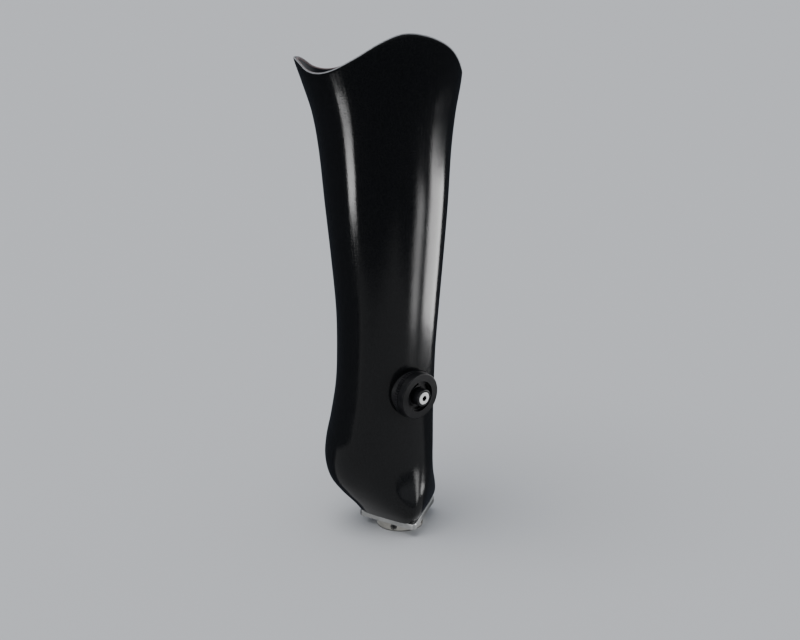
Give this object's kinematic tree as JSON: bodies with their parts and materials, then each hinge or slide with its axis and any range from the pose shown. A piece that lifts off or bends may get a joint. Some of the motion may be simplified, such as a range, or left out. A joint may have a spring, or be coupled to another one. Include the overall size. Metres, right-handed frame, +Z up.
{
  "type": "prosthetic leg socket",
  "caption": "Right below-knee prosthetic socket: black laminated shell, flared brim, suction valve with toothed knob and push button, aluminium plate with pyramid receiver.",
  "frame": {"origin": "centre of the pyramid receiver's mouth, on the plane the part stands on", "axes": "+Z up along the leg, +X anterior, +Y medial (a right leg, so -Y is lateral)"},
  "size_m": [0.1381, 0.1163, 0.4302],
  "materials": {
    "laminate": "gloss",
    "inner_laminate": "satin",
    "pad": "matte",
    "core": "matte",
    "aluminium": "satin",
    "steel": "bright",
    "black_plastic": "matte",
    "white_plastic": "satin",
    "seal_rubber": "matte"
  },
  "bodies": {
    "socket": {"outer_shell": "laminate", "inner_socket": "inner_laminate", "distal_end_pad": "pad", "ankle_block": "core", "anchor_plate": "steel", "attachment_plate": "aluminium", "pyramid_receiver": "steel", "set_screws": "steel", "adapter_bolts": "steel", "plate_screws": "steel", "valve_seat": "black_plastic"},
    "seal": {"valve_o_ring": "seal_rubber"},
    "knob": {"valve_knob": "black_plastic", "vent_cover": "black_plastic", "check_flap": "seal_rubber", "button_spring": "steel"},
    "button": {"push_button": "black_plastic", "button_insert": "white_plastic", "valve_stem": "steel", "poppet_seal": "seal_rubber", "stem_clip": "steel"}
  },
  "joints": [
    {"name": "knob_lift", "type": "slide", "parent": "socket", "child": "seal", "axis": [0.6666, -0.7403, -0.0872], "range_m": [0, 0.0045]},
    {"name": "knob_turn", "type": "hinge", "parent": "seal", "child": "knob", "pos_m": [0.0091, -0.0277, 0.132], "axis": [0.6666, -0.7403, -0.0872], "range_deg": [0, 1080.01]},
    {"name": "button_press", "type": "slide", "parent": "knob", "child": "button", "axis": [-0.6666, 0.7403, 0.0872], "range_m": [0, 0.0025], "stiffness_N_per_m": 400, "springref_m": -0.002, "deforming": ["button_spring"]}
  ],
  "couplings": [
    {"joint": "knob_turn", "follows": "knob_lift", "rad_per_m": 4188.8}
  ]
}
